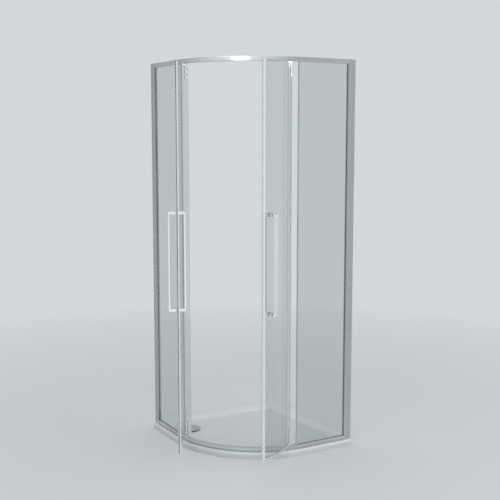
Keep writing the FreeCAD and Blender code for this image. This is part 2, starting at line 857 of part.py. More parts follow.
def fixed_pane(side):
    """Fixed glass, its strips in the rails' grooves and the seal on its free edge."""
    low = GLASS_RADIUS - HALF_GLASS
    high = GLASS_RADIUS + HALF_GLASS
    glass = sweep_along_glass(
        f"{side.name}_fixed_glass",
        rectangle(low, high, PANE_BOTTOM, PANE_TOP),
        side.lead,
        STILE_GROOVE_END - S.glass_end_gap,
        S.pane_arc_angle,
    )
    keep(place(glass, side.frame))

    strips = []
    for edge, near, far in (
        ("outer", high, GLASS_RADIUS + HALF_GROOVE),
        ("inner", GLASS_RADIUS - HALF_GROOVE, low),
    ):
        for name, bottom, top in (("low", PANE_BOTTOM, SILL), ("high", LINTEL, PANE_TOP)):
            label = f"{side.name}_{edge}_{name}_strip"
            section = rectangle(near, far, bottom, top)
            strips.append(sweep_along_glass(label, section, side.lead, STILE_IN, S.pane_arc_angle))
    keep(place(group(f"{side.name}_rail_gaskets", strips), side.frame))

    edge_strip(
        f"{side.name}_pane_edge_seal", side, side.frame.turned(S.pane_arc_angle * side.lead),
        S.edge_seal_nose, S.edge_seal_clip, S.edge_seal_wall, SILL, LINTEL,
    )


HINGE_SCREWS = (S.hinge_height + S.hinge_head) / 2
HINGE_LEVELS = {
    "top": [HIGH_HEAD - HINGE_SCREWS + S.hinge_screw_spacing / 2 * way for way in (-1, 1)],
    "bottom": [LOW_HEAD + HINGE_SCREWS + S.hinge_screw_spacing / 2 * way for way in (-1, 1)],
}
HANDLE_LEVELS = [
    S.handle_centre + (S.handle_height - S.handle_leg) / 2 * way for way in (-1, 1)
]


def hinge_bars(side, name, place_name, radius, low, high):
    """Bars at a hinge's two screws, between two offsets from the glass line."""
    near = GLASS_RADIUS + low
    far = GLASS_RADIUS + high
    return [
        across(f"{side.name}_{place_name}_{name}_{number}", radius, near, far, level)
        for number, level in enumerate(HINGE_LEVELS[place_name])
    ]


def handle_bars(side, name, radius, low, high):
    """Bars at the handle's two legs, between two offsets from the glass line."""
    spin = LOCAL.turned(HANDLE_ARC * side.lead)
    bars = []
    for number, level in enumerate(HANDLE_LEVELS):
        label = f"{side.name}_{name}_{number}"
        bar = across(label, radius, GLASS_RADIUS + low, GLASS_RADIUS + high, level)
        bars.append(place(group(label + "_turned", [bar]), spin))
    return bars


def door_glass(side):
    """Curved door, from its tail behind the pivot to its leading edge, drilled for its fittings."""
    first = -TAIL_ARC
    last = DOOR_ARC - EDGE_ARC
    blank = sector(
        f"{side.name}_door_blank",
        rectangle(GLASS_RADIUS - HALF_GLASS, GLASS_RADIUS + HALF_GLASS, DOOR_BOTTOM, DOOR_TOP),
        last - first,
    )
    place(blank, LOCAL.turned((first + last) / 2 * side.lead))
    holes = handle_bars(side, "handle_hole", S.stud_glass_hole,
                        -HALF_GLASS - DRILL_PAST, HALF_GLASS + DRILL_PAST)
    for hinge in HINGE_LEVELS:
        holes += hinge_bars(side, "hole", hinge, S.hinge_glass_hole,
                            -HALF_GLASS - DRILL_PAST, HALF_GLASS + DRILL_PAST)
    keep(place(cut(f"{side.name}_door_glass", blank, holes), side.door))


def hinge(side, name):
    """One clamp hinge: an inner plate with the pivot head, and an outer plate."""
    if name == "top":
        head, way = HIGH_HEAD, -1
    else:
        head, way = LOW_HEAD, 1
    neck = head + S.hinge_head * way
    end = head + S.hinge_height * way
    bevel = S.hinge_bevel * way
    inner = sector(
        f"{side.name}_{name}_inner_blank",
        [
            (GLASS_RADIUS - PLATE_OUT + S.hinge_bevel, head),
            (GLASS_RADIUS + PLATE_OUT - S.hinge_bevel, head),
            (GLASS_RADIUS + PLATE_OUT, head + bevel),
            (GLASS_RADIUS + PLATE_OUT, neck),
            (GLASS_RADIUS - PLATE_IN, neck),
            (GLASS_RADIUS - PLATE_IN, end),
            (GLASS_RADIUS - PLATE_OUT + S.hinge_bevel, end),
            (GLASS_RADIUS - PLATE_OUT, end - bevel),
            (GLASS_RADIUS - PLATE_OUT, head + bevel),
        ],
        HINGE_HALF_ARC * 2,
    )
    outer = sector(
        f"{side.name}_{name}_outer_blank",
        [
            (GLASS_RADIUS + PLATE_IN, neck),
            (GLASS_RADIUS + PLATE_OUT, neck),
            (GLASS_RADIUS + PLATE_OUT, end - bevel),
            (GLASS_RADIUS + PLATE_OUT - S.hinge_bevel, end),
            (GLASS_RADIUS + PLATE_IN, end),
        ],
        HINGE_HALF_ARC * 2,
    )
    bottom = head if way > 0 else neck
    seat = cylinder(
        f"{side.name}_{name}_pin_seat", S.pin_radius + S.pin_seat, S.hinge_head, GLASS_RADIUS, ZERO, bottom,
    )
    sunk = -PLATE_OUT + S.hinge_screw_head_height
    passage = hinge_bars(side, "passage", name, S.hinge_screw_radius + S.screw_play, sunk, -HALF_GLASS)
    sink = hinge_bars(side, "sink", name, S.hinge_screw_head_radius + S.screw_play,
                      -PLATE_OUT - DRILL_PAST, sunk)
    thread = hinge_bars(side, "thread", name, S.hinge_screw_radius,
                        HALF_GLASS, PLATE_IN + S.hinge_screw_bite)
    keep(place(cut(f"{side.name}_{name}_hinge_inner_plate", inner, [seat] + passage + sink), side.door))
    keep(place(cut(f"{side.name}_{name}_hinge_outer_plate", outer, thread), side.door))


def hinge_fittings(side):
    """Pins and clamp screws of a door's two hinges, and the grip pads between the screws."""
    pins = [
        cylinder(f"{side.name}_{name}_pin", S.pin_radius, S.hinge_head + HEAD_LIFT + S.pin_reach,
                 GLASS_RADIUS, ZERO, bottom)
        for name, bottom in (
            ("bottom", LOW_HEAD - HEAD_LIFT - S.pin_reach),
            ("top", HIGH_HEAD - S.hinge_head),
        )
    ]
    keep(place(group(f"{side.name}_pivot_pins", pins), side.door))

    gaskets = []
    screws = []
    for name, (lower, upper) in HINGE_LEVELS.items():
        for face, low, high in (("inner", -GASKET_OUT, -GASKET_IN), ("outer", GASKET_IN, GASKET_OUT)):
            section = rectangle(
                GLASS_RADIUS + low, GLASS_RADIUS + high,
                lower + S.hinge_glass_hole, upper - S.hinge_glass_hole,
            )
            gaskets.append(sector(f"{side.name}_{name}_{face}_gasket", section, HINGE_HALF_ARC * 2))
        sunk = -PLATE_OUT + S.hinge_screw_head_height
        shanks = hinge_bars(side, "shank", name, S.hinge_screw_radius, sunk, PLATE_IN + S.hinge_screw_bite)
        heads = hinge_bars(side, "head", name, S.hinge_screw_head_radius, -PLATE_OUT, sunk)
        screws += [fuse(shank.Name + "_screw", shank, head) for shank, head in zip(shanks, heads)]
    keep(place(group(f"{side.name}_hinge_gaskets", gaskets), side.door))
    keep(place(group(f"{side.name}_hinge_screws", screws), side.door))


def handle(side):
    """Double-sided loop handle: two bevelled loops joined by studs through the glass."""
    spot = side.door.turned(HANDLE_ARC * side.lead)
    bottom = S.handle_centre - S.handle_height / 2
    top = S.handle_centre + S.handle_height / 2
    foot = HALF_GLASS + S.handle_gasket + S.handle_seat_gap
    grip = S.handle_reach - S.handle_bar
    for face, way in (("outer", 1), ("inner", -1)):
        label = f"{side.name}_{face}_handle"
        body = new_body(label + "_bar")
        outline = [
            (foot, bottom), (S.handle_reach, bottom), (S.handle_reach, top), (foot, top),
            (foot, top - S.handle_leg), (grip, top - S.handle_leg),
            (grip, bottom + S.handle_leg), (foot, bottom + S.handle_leg),
        ]
        sketch = new_sketch(body, "XZ_Plane", "loop")
        polygon(sketch, [(GLASS_RADIUS + reach * way, level) for reach, level in outline])
        pad(body, sketch, S.handle_width, symmetric=True)
        glass_face = (GLASS_RADIUS + foot * way).value
        round_edges(
            body,
            lambda edge: any(abs(corner.X - glass_face) > 0.01 for corner in edge.Vertexes),
            S.handle_bevel,
            "Chamfer",
        )
        bores = [
            across(f"{label}_bore_{number}", S.stud_radius + S.stud_play, low, high, level)
            for number, level in enumerate(HANDLE_LEVELS)
            for low, high in [sorted(
                (GLASS_RADIUS + foot * way, GLASS_RADIUS + (foot + S.stud_depth) * way),
                key=lambda size: size.value,
            )]
        ]
        keep(place(cut(label, body, bores), spot))

    stud_end = foot + S.stud_depth
    keep(place(group(
        f"{side.name}_handle_studs",
        handle_bars(side, "stud", S.stud_radius, -stud_end, stud_end),
    ), side.door))

    half_leg = S.handle_leg / 2
    gaskets = []
    for face, low, high in (
        ("inner", -HALF_GLASS - S.handle_gasket, -HALF_GLASS),
        ("outer", HALF_GLASS, HALF_GLASS + S.handle_gasket),
    ):
        holes = handle_bars(side, f"{face}_washer_hole", S.stud_radius + S.stud_play,
                            low - DRILL_PAST, high + DRILL_PAST)
        for number, (level, hole) in enumerate(zip(HANDLE_LEVELS, holes)):
            label = f"{side.name}_{face}_washer_{number}"
            section = rectangle(GLASS_RADIUS + low, GLASS_RADIUS + high, level - half_leg, level + half_leg)
            blank = sector(label + "_blank", section, arc_angle(S.handle_width))
            place(blank, LOCAL.turned(HANDLE_ARC * side.lead))
            gaskets.append(cut(label, blank, [hole]))
    keep(place(group(f"{side.name}_handle_gaskets", gaskets), side.door))


def door_strips(side):
    """Magnetic strip on the leading edge and drip strip under the glass."""
    edge_strip(
        f"{side.name}_magnetic_strip", side, side.door.turned((DOOR_ARC - EDGE_ARC) * side.lead),
        S.strip_nose, S.strip_clip, S.strip_wall, DOOR_BOTTOM, DOOR_TOP,
    )

    slot = HALF_GLASS + S.strip_clearance
    wall = slot + S.drip_wall
    rest = DOOR_BOTTOM - S.strip_clearance
    web = rest - S.drip_web
    half_fin = S.drip_fin / 2
    lip = DOOR_BOTTOM + S.drip_clip
    first = HINGE_HALF_ARC + arc_angle(S.drip_end_gap)
    last = DOOR_ARC - EDGE_ARC - arc_angle(S.strip_clip + S.drip_end_gap)
    section = [
        (wall, lip), (wall, web), (half_fin, web), (half_fin, SILL + S.drip_floor_gap),
        (-half_fin, SILL + S.drip_floor_gap), (-half_fin, web), (-wall, web), (-wall, lip),
        (-slot, lip), (-slot, rest), (slot, rest), (slot, lip),
    ]
    drip = sector(
        f"{side.name}_drip_strip",
        [(GLASS_RADIUS + offset, level) for offset, level in section],
        last - first,
    )
    keep(place(drip, side.door.turned((first + last) / 2 * side.lead)))


shower_tray()
waste()
rails()
pivot_blocks()
rail_screws()
for half in (RIGHT, LEFT):
    wall_profile(half)
    fixed_pane(half)
    door_glass(half)
    hinge(half, "top")
    hinge(half, "bottom")
    hinge_fittings(half)
    handle(half)
    door_strips(half)

doc.recompute()
failed = [item.Name for item in doc.Objects if {"Invalid", "Error"} & set(item.State)]
failed += [item.Label for item in subparts if item.Shape.isNull() or not item.Shape.isValid()]
if failed:
    raise SystemExit(f"failed: {', '.join(failed)}")

os.makedirs("parts", exist_ok=True)
for item in subparts:
    item.Shape.exportStep(f"parts/{item.Label}.step")
print(f"{len(subparts)} sub-parts written")
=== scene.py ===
"""The looks of a quadrant shower cabin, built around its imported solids. Metres, +Z up."""

import json
import math

import bmesh
import bpy
from mathutils import Matrix, Vector


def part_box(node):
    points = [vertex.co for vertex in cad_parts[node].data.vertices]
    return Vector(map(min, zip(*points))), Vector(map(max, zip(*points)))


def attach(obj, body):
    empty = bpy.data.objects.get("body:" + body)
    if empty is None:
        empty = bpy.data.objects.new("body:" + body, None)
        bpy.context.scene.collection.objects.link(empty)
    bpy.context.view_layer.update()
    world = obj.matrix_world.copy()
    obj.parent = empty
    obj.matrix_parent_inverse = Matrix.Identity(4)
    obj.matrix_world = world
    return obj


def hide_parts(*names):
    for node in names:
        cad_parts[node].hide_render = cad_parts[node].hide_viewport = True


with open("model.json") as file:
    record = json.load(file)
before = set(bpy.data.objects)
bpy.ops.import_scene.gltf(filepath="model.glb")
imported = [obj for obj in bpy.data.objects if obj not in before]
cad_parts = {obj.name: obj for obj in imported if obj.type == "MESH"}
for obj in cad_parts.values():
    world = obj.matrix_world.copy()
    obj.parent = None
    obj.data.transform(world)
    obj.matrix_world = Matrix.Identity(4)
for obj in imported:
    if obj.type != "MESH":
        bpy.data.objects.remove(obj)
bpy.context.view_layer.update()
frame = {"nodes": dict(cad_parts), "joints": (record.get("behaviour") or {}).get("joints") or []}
nodes = frame["nodes"]
joints = {joint["name"]: joint for joint in frame["joints"]}

ALONG_X = Vector((1, 0, 0))
ALONG_Y = Vector((0, 1, 0))
UP = Vector((0, 0, 1))

# Camera: the photograph's standpoint, as fitted to the cabin's straight edges
CAMERA_PLACE = (-2.4254, -4.1541, 1.6436)
CAMERA_YAW = 30.293
CAMERA_PITCH = 7.191
CAMERA_LENS = 64.76
SENSOR_WIDTH = 36.0

# Stage: a pale cool backdrop, which the floor fades into with its distance from the origin
COOL_WHITE = (0.93, 0.974, 1.0, 1.0)
BACKDROP = 0.70
SKY = 0.60
FLOOR_COLOUR = (0.69, 0.71, 0.725, 1.0)
FLOOR_ROUGHNESS = 0.75
FLOOR_SHINE = 0.2
FLOOR_RADIUS = 14.0
FLOOR_SIDES = 128
FLOOR_DROP = 0.0005
FLOOR_FADE = (1.2, 4.0)
FLOOR_GLOW = 0.25

# In reflections the studio is grey, and brighter towards its screens: direction in plan, gain, focus
STUDIO_TONE = 0.5
STUDIO_SCREENS = (
    (math.radians(218), 0.5, 2.0),
    (math.radians(352), 0.24, 4.0),
)

# In reflections the floor fades into the studio with its distance from the centre of the doors' arc
MIRRORED_FLOOR_FADE = (0.64, 0.70)

# The doors are arcs about this point when they are shut
ARC_CENTRE = Vector((0.1, 0.1))

# Angles along a door from its pivot: to the middle of the doorway, and to about the middle of its glass
DOOR_ARC = math.radians(35)
DOOR_MIDDLE_ARC = math.radians(15)

# Where noise values mostly lie
NOISE_LOW = 0.3
NOISE_HIGH = 0.7

# Grain of metal and strips: how often it changes in a metre along each axis
ALONG_RAIL = (1.5, 1.5, 900)
UPRIGHT = (900, 900, 1.5)
EVEN = (300, 300, 300)
WIPING_MARKS = (6, 6, 2.5)
LINE_HEIGHT = 0.0002

# Glass: a normal's share along the sheet's facing is below these two on an edge, and above them on a face
GLASS_EDGE = (0.5, 0.75)
GLASS_EDGE_COLOUR = (0.42, 0.54, 0.52)
GLASS_FACE_COLOUR = (0.76, 0.80, 0.80)
GLASS_SHADOW = (0.86, 0.89, 0.885)
GLASS_IOR = 1.5
ROLLER_WAVE = (1.5, 1.5, 3.0)
WAVE_STRENGTH = 0.02
WAVE_HEIGHT = 0.002

# Milky plastic of the doors' strips
STRIP_DARK = (0.82, 0.835, 0.84)
STRIP_LIGHT = (0.88, 0.895, 0.90)
STRIP_SHADOW = (0.8, 0.82, 0.82)
STRIP_ROUGHNESS = (0.22, 0.34)
STRIP_LINE_STRENGTH = 0.02
STRIP_IOR = 1.46

# Moulded plastic and rubber
PATCH_SCALE = 9.0
GRAIN_HEIGHT = 0.0004

# Cast resin of the tray: painted shade greys it the lower it lies, from its rim's colour down to its foot's,
# and the mottle moves its tone by a share
TRAY_SHADE_HEIGHTS = (0.012, 0.033)
TRAY_SHADED_FOOT_COLOUR = (0.60, 0.615, 0.625)
TRAY_RIM_COLOUR = (0.86, 0.87, 0.88)
TRAY_ROUGHNESS = (0.26, 0.36)
TRAY_MOTTLE = 0.15
MOTTLE_SCALE = 5.0
TOOTH_SCALE = 700.0
TOOTH_STRENGTH = 0.05
TOOTH_HEIGHT = 0.0003
GEL_COAT = 0.6
GEL_COAT_ROUGHNESS = 0.07

# Section of the doors' magnetic strips, from the glass's edge, and their gap to the doorway's middle
STRIP_GAP = 0.0003
STRIP_HALF = 0.0061
STRIP_SLOT = 0.0031
STRIP_NOSE = 0.005
STRIP_CLIP = 0.007
STRIP_ROUND = 0.0005
STRIP_SEAT = 0.0001
MAGNET_SPAN = (0.0002, 0.0055)
MAGNET_DEPTH = 0.0018
MAGNET_PLAY = 0.00005
MAGNET_ROUND = 0.0004

# Soft seal along the outer foot of the bottom rail, a dark band that also paints the shade in its joint with
# the tray
FOOT_SEAL_HEIGHT = 0.0075
FOOT_SEAL_THICK = 0.0014
FOOT_SEAL_SINK = 0.0003
FOOT_SEAL_GAP = 0.0001
FOOT_SEAL_STEPS = 64

# Screws of the hinges: the tops of their heads and their tips lie this far from the glass's middle
HINGE_FACE = 0.009
HINGE_SCREW_END = 0.0085
HINGE_HEAD_RADIUS = 0.0045
HINGE_HEAD_HEIGHT = 0.003
HINGE_SHANK_RADIUS = 0.0025
HINGE_SCREW_SPACING = 0.032
HEX_KEY = 0.0045
HEX_DEPTH = 0.0019

# Screws of the stiles
STILE_HEAD_HEIGHT = 0.0022
STILE_SHANK_RADIUS = 0.00175
CROSS_REACH = 0.0019
CROSS_HALF_WIDTH = 0.0005
CROSS_DEPTH = 0.0012

# A screw's tip, in shares of its shank's radius
TIP_RADIUS = 0.7
TIP_LENGTH = 0.3

# A screw's head: its flat top in shares of its radius, its eased rim and its dome in shares of its height
HEAD_TOP = 0.6
HEAD_EASE = 0.12
PAN_DOME = 0.35

# Fineness of the meshes
SCREW_SIDES = 48
ROUND_STEPS = 4
SHARP_ANGLE = math.radians(32)

# Least divisor
TINY = 1e-6


def direction(angle):
    """The level direction at an angle in plan."""
    return Vector((math.cos(angle), math.sin(angle)))


class Door:
    """A door as it stands at rest: an arc from its pivot, about a centre of its own."""

    def __init__(self, side):
        joint = joints[f"{side}_door_swing"]
        axis = joint["axis"][2]
        pivot = Vector(joint["pos_m"][:2])
        arm = pivot - ARC_CENTRE
        self.lead = -axis
        self.radius = arm.length
        self.start = math.atan2(arm.y, arm.x) - axis * math.radians(joint["range_deg"][0])
        self.centre = pivot - self.radius * direction(self.start)
        self.edge = DOOR_ARC - (STRIP_GAP + STRIP_NOSE) / self.radius

    def outward(self, arc):
        """The way out of the door at an angle along it from the pivot."""
        return direction(self.start + self.lead * arc).to_3d()

    def forward(self, arc):
        """The way along the door, towards its leading edge."""
        return self.lead * direction(self.start + self.lead * arc + math.pi / 2).to_3d()

    def point(self, arc, offset, height):
        """A place by its angle from the pivot, its distance out of the glass's middle and its height."""
        place = self.centre.to_3d() + (self.radius + offset) * self.outward(arc)
        place.z = height
        return place


doors = {side: Door(side) for side in ("right", "left")}


def new_material(name):
    """A node material and its principled shader."""
    material = bpy.data.materials.new(name)
    material.use_nodes = True
    tree = material.node_tree
    return material, tree, tree.nodes["Principled BSDF"]


def node(tree, kind, **values):
    """Adds a node and sets its properties, or its inputs where the name is an input's."""
    made = tree.nodes.new(kind)
    for name, value in values.items():
        if name in made.inputs:
            made.inputs[name].default_value = value
        else:
            setattr(made, name, value)
    return made


def feed(tree, socket, value):
    """Links a socket to another node's output, or sets it to a number or a vector."""
    if isinstance(value, bpy.types.NodeSocket):
        tree.links.new(value, socket)
    else:
        socket.default_value = value


def calculate(tree, operation, *values, **settings):
    """The result of a sum with numbers and other nodes' outputs."""
    made = node(tree, "ShaderNodeMath", operation=operation, **settings)
    for socket, value in zip(made.inputs, values):
        feed(tree, socket, value)
    return made.outputs["Value"]


def measure(tree, operation, *vectors):
    """The number that vectors give, such as a length or a dot product."""
    made = node(tree, "ShaderNodeVectorMath", operation=operation)
    for socket, vector in zip(made.inputs, vectors):
        feed(tree, socket, vector)
    return made.outputs["Value"]


def choose(tree, factor, usual, other):
    """The other value where the factor is 1, and the usual one elsewhere."""
    made = node(tree, "ShaderNodeMix", data_type="FLOAT")
    for name, value in (("Factor", factor), ("A", usual), ("B", other)):
        feed(tree, made.inputs[name], value)
    return made.outputs["Result"]


def place_vector(tree, scale=(1, 1, 1)):
    """The rest position of a point, stretched by a scale for each axis."""
    coordinates = node(tree, "ShaderNodeTexCoord")
    mapping = node(tree, "ShaderNodeMapping")
    mapping.inputs["Scale"].default_value = scale
    tree.links.new(coordinates.outputs["Object"], mapping.inputs["Vector"])
    return mapping.outputs["Vector"]


def noise(tree, vector, scale, detail, roughness=0.5):
    """A noise value at a place."""
    made = node(tree, "ShaderNodeTexNoise", Scale=scale, Detail=detail, Roughness=roughness)
    tree.links.new(vector, made.inputs["Vector"])
    return made.outputs["Fac"]


def spread(tree, value, low, high, from_low=NOISE_LOW, from_high=NOISE_HIGH):
    """Maps a value, a noise value unless its own range is given, onto a range."""
    made = node(tree, "ShaderNodeMapRange")
    made.inputs["From Min"].default_value = from_low
    made.inputs["From Max"].default_value = from_high
    made.inputs["To Min"].default_value = low
    made.inputs["To Max"].default_value = high
    tree.links.new(value, made.inputs["Value"])
    return made.outputs["Result"]


def paint(tree, shader, value, first, second):
    """Colours a shader between two colours, by a value from 0 to 1."""
    made = node(tree, "ShaderNodeMix", data_type="RGBA")
    colours = {"A": first, "B": second}
    for socket in made.inputs:
        if socket.type == "RGBA":
            socket.default_value = (*colours[socket.name], 1)
    tree.links.new(value, made.inputs["Factor"])
    result = next(socket for socket in made.outputs if socket.type == "RGBA")
    tree.links.new(result, shader.inputs["Base Color"])


def roughen(tree, shader, value, smooth, rough):
    """Moves a shader between smooth and rough, by a noise value."""
    tree.links.new(spread(tree, value, smooth, rough), shader.inputs["Roughness"])


def bump(tree, shader, height, strength, distance):
    """Raises a surface by a noise value."""
    made = node(tree, "ShaderNodeBump", Strength=strength, Distance=distance)
    tree.links.new(height, made.inputs["Height"])
    tree.links.new(made.outputs["Normal"], shader.inputs["Normal"])


def mix_shaders(tree, share, first, second):
    """Ends a material in a mix of two shaders, the second by its share."""
    mix = node(tree, "ShaderNodeMixShader")
    tree.links.new(share, mix.inputs["Fac"])
    tree.links.new(first, mix.inputs[1])
    tree.links.new(second, mix.inputs[2])
    tree.links.new(mix.outputs["Shader"], tree.nodes["Material Output"].inputs["Surface"])


def let_lamps_through(tree, shader, tint):
    """Lets lamp light pass a clear solid without bending, so that its shadow is pale."""
    path = node(tree, "ShaderNodeLightPath")
    clear = node(tree, "ShaderNodeBsdfTransparent", Color=(*tint, 1))
    mix_shaders(tree, path.outputs["Is Shadow Ray"], shader.outputs["BSDF"], clear.outputs["BSDF"])


def metal(name, dark, light, smooth, rough, grain, depth):
    """Metal with fine drawing lines along its length and faint wiping marks."""
    material, tree, shader = new_material(name)
    shader.inputs["Metallic"].default_value = 1.0
    lines = noise(tree, place_vector(tree, grain), 1.0, detail=2.0)
    marks = noise(tree, place_vector(tree, WIPING_MARKS), 1.0, detail=4.0)
    paint(tree, shader, spread(tree, marks, 0.0, 1.0), dark, light)
    roughen(tree, shader, lines, smooth, rough)
    bump(tree, shader, lines, depth, LINE_HEIGHT)
    return material


def clear_glass(name, facing):
    """Toughened glass: clear, a little cool, greener at its edges, with a trace of roller wave."""
    material, tree, shader = new_material(name)
    coordinates = node(tree, "ShaderNodeTexCoord")
    along_facing = measure(tree, "DOT_PRODUCT", coordinates.outputs["Normal"], facing)
    size = calculate(tree, "ABSOLUTE", along_facing)
    tone = spread(tree, size, 0.0, 1.0, *GLASS_EDGE)
    paint(tree, shader, tone, GLASS_EDGE_COLOUR, GLASS_FACE_COLOUR)
    shader.inputs["Roughness"].default_value = 0.0
    shader.inputs["IOR"].default_value = GLASS_IOR
    shader.inputs["Transmission Weight"].default_value = 1.0
    wave = noise(tree, place_vector(tree, ROLLER_WAVE), 1.0, detail=1.0)
    bump(tree, shader, wave, WAVE_STRENGTH, WAVE_HEIGHT)
    let_lamps_through(tree, shader, GLASS_SHADOW)
    return material


def clear_strip(name, grain, clearness):
    """Milky soft plastic of the doors' strips, with faint extrusion lines."""
    material, tree, shader = new_material(name)
    shader.inputs["Transmission Weight"].default_value = clearness
    shader.inputs["IOR"].default_value = STRIP_IOR
    lines = noise(tree, place_vector(tree, grain), 1.0, detail=2.0)
    paint(tree, shader, spread(tree, lines, 0.0, 1.0), STRIP_DARK, STRIP_LIGHT)
    roughen(tree, shader, lines, *STRIP_ROUGHNESS)
    bump(tree, shader, lines, STRIP_LINE_STRENGTH, LINE_HEIGHT)
    let_lamps_through(tree, shader, STRIP_SHADOW)
    return material


def moulded(name, dark, light, smooth, rough, scale, depth):
    """Moulded plastic or rubber with a fine grain and faint patches."""
    material, tree, shader = new_material(name)
    grain = noise(tree, place_vector(tree), scale, detail=4.0, roughness=0.6)
    patches = noise(tree, place_vector(tree), PATCH_SCALE, detail=2.0)
    paint(tree, shader, spread(tree, patches, 0.0, 1.0), dark, light)
    roughen(tree, shader, grain, smooth, rough)
    bump(tree, shader, grain, depth, GRAIN_HEIGHT)
    return material


def cast_tray():
    """Cast resin: off-white, with painted shade that greys it below its rim, a faint mottle, a fine tooth
    and a gel coat.
    """
    material, tree, shader = new_material("cast_resin")
    mottle = noise(tree, place_vector(tree), MOTTLE_SCALE, detail=5.0, roughness=0.6)
    tooth = noise(tree, place_vector(tree), TOOTH_SCALE, detail=2.0)
    place = node(tree, "ShaderNodeSeparateXYZ")
    tree.links.new(place_vector(tree), place.inputs["Vector"])
    # Painted shade: the colour darkens with height below the rim, on the outer faces towards the foot and in
    # the basin
    level = spread(tree, place.outputs["Z"], -TRAY_MOTTLE, 1.0 - TRAY_MOTTLE, *TRAY_SHADE_HEIGHTS)
    patches = spread(tree, mottle, 0.0, 1.0)
    tone = calculate(tree, "MULTIPLY_ADD", patches, TRAY_MOTTLE, level, use_clamp=True)
    paint(tree, shader, tone, TRAY_SHADED_FOOT_COLOUR, TRAY_RIM_COLOUR)
    roughen(tree, shader, tooth, *TRAY_ROUGHNESS)
    shader.inputs["Coat Weight"].default_value = GEL_COAT
    shader.inputs["Coat Roughness"].default_value = GEL_COAT_ROUGHNESS
    bump(tree, shader, tooth, TOOTH_STRENGTH, TOOTH_HEIGHT)
    return material


materials = {
    "rail": metal(
        "polished_rail", dark=(0.70, 0.71, 0.72), light=(0.77, 0.78, 0.79),
        smooth=0.14, rough=0.22, grain=ALONG_RAIL, depth=0.04,
    ),
    "stile": metal(
        "polished_stile", dark=(0.62, 0.63, 0.64), light=(0.68, 0.69, 0.70),
        smooth=0.16, rough=0.24, grain=UPRIGHT, depth=0.04,
    ),
    "chrome": metal(
        "chrome_plate", dark=(0.87, 0.88, 0.89), light=(0.93, 0.94, 0.95),
        smooth=0.04, rough=0.09, grain=EVEN, depth=0.01,
    ),
    "plate": metal(
        "hinge_plate", dark=(0.93, 0.94, 0.95), light=(0.96, 0.97, 0.98),
        smooth=0.16, rough=0.26, grain=EVEN, depth=0.02,
    ),
    "satin": metal(
        "satin_chrome", dark=(0.58, 0.59, 0.60), light=(0.66, 0.67, 0.68),
        smooth=0.2, rough=0.3, grain=EVEN, depth=0.03,
    ),
    "steel": metal(
        "stainless_steel", dark=(0.46, 0.46, 0.47), light=(0.56, 0.56, 0.57),
        smooth=0.2, rough=0.34, grain=EVEN, depth=0.05,
    ),
    "strip": clear_strip("clear_strip", grain=UPRIGHT, clearness=0.12),
    "drip": clear_strip("clear_drip_strip", grain=ALONG_RAIL, clearness=0.62),
    "seal": moulded(
        "dark_seal", dark=(0.17, 0.175, 0.18), light=(0.22, 0.225, 0.23),
        smooth=0.45, rough=0.6, scale=900.0, depth=0.08,
    ),
    "edge_seal": moulded(
        "grey_seal", dark=(0.42, 0.43, 0.435), light=(0.48, 0.49, 0.495),
        smooth=0.4, rough=0.55, scale=900.0, depth=0.1,
    ),
    # A paler copy of the seal for the right strip's magnet: painted light
    "painted_light_seal": moulded(
        "painted_light_seal", dark=(0.55, 0.56, 0.565), light=(0.61, 0.62, 0.625),
        smooth=0.4, rough=0.55, scale=900.0, depth=0.1,
    ),
    "rubber": moulded(
        "grey_rubber", dark=(0.34, 0.345, 0.35), light=(0.39, 0.395, 0.40),
        smooth=0.4, rough=0.55, scale=900.0, depth=0.08,
    ),
    "plastic": moulded(
        "grey_plastic", dark=(0.36, 0.37, 0.38), light=(0.42, 0.43, 0.44),
        smooth=0.34, rough=0.48, scale=800.0, depth=0.1,
    ),
    "tray": cast_tray(),
    "right_pane": clear_glass("right_pane_glass", ALONG_Y),
    "left_pane": clear_glass("left_pane_glass", ALONG_X),
    "right_door": clear_glass("right_door_glass", doors["right"].outward(DOOR_MIDDLE_ARC)),
    "left_door": clear_glass("left_door_glass", doors["left"].outward(DOOR_MIDDLE_ARC)),
}

# The material of each node, by the first of these endings that its name has
LOOKS = {
    "right_fixed_glass": "right_pane",
    "left_fixed_glass": "left_pane",
    "right_door_glass": "right_door",
    "left_door_glass": "left_door",
    "drip_strip": "drip",
    "magnetic_strip": "strip",
    "pane_edge_seal": "edge_seal",
    "gasket": "seal",
    "gaskets": "seal",
    "lips": "rubber",
    "blocks": "plastic",
    "insert": "rail",
    "cap": "stile",
    "screws": "steel",
    "pins": "steel",
    "studs": "steel",
    "rail": "rail",
    "stile": "stile",
    "channel": "stile",
    "plate": "plate",
    "handle": "chrome",
    "waste_flange": "chrome",
    "waste_cover": "satin",
    "shower_tray": "tray",
}


def dress(name, part):
    """Gives a solid its material."""
    look = next(look for ending, look in LOOKS.items() if name.endswith(ending))
    part.data.materials.clear()
    part.data.materials.append(materials[look])


def piece(name, shapes, look, body):
    """One piece from closed shapes, each a list of points and a list of faces, that rides on a body."""
    points = []
    faces = []
    for shape_points, shape_faces in shapes:
        start = len(points)
        points += shape_points
        faces += [[start + corner for corner in face] for face in shape_faces]
    mesh = bpy.data.meshes.new(name)
    mesh.from_pydata(points, [], faces)
    shell = bmesh.new()
    shell.from_mesh(mesh)
    bmesh.ops.recalc_face_normals(shell, faces=shell.faces)
    shell.to_mesh(mesh)
    shell.free()
    mesh.shade_smooth()
    mesh.set_sharp_from_angle(angle=SHARP_ANGLE)
    mesh.materials.append(materials[look])
    made = bpy.data.objects.new(name, mesh)
    bpy.context.scene.collection.objects.link(made)
    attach(made, body)
    return made


def skinned(points, count):
    """A closed shape over rings of points, which follow each other, with so many points in each."""
    faces = []
    for low in range(0, len(points) - count, count):
        high = low + count
        for step in range(count):
            after = (step + 1) % count
            faces.append((low + step, low + after, high + after, high + step))
    faces.append(tuple(reversed(range(count))))
    faces.append(tuple(range(len(points) - count, len(points))))
    return points, faces


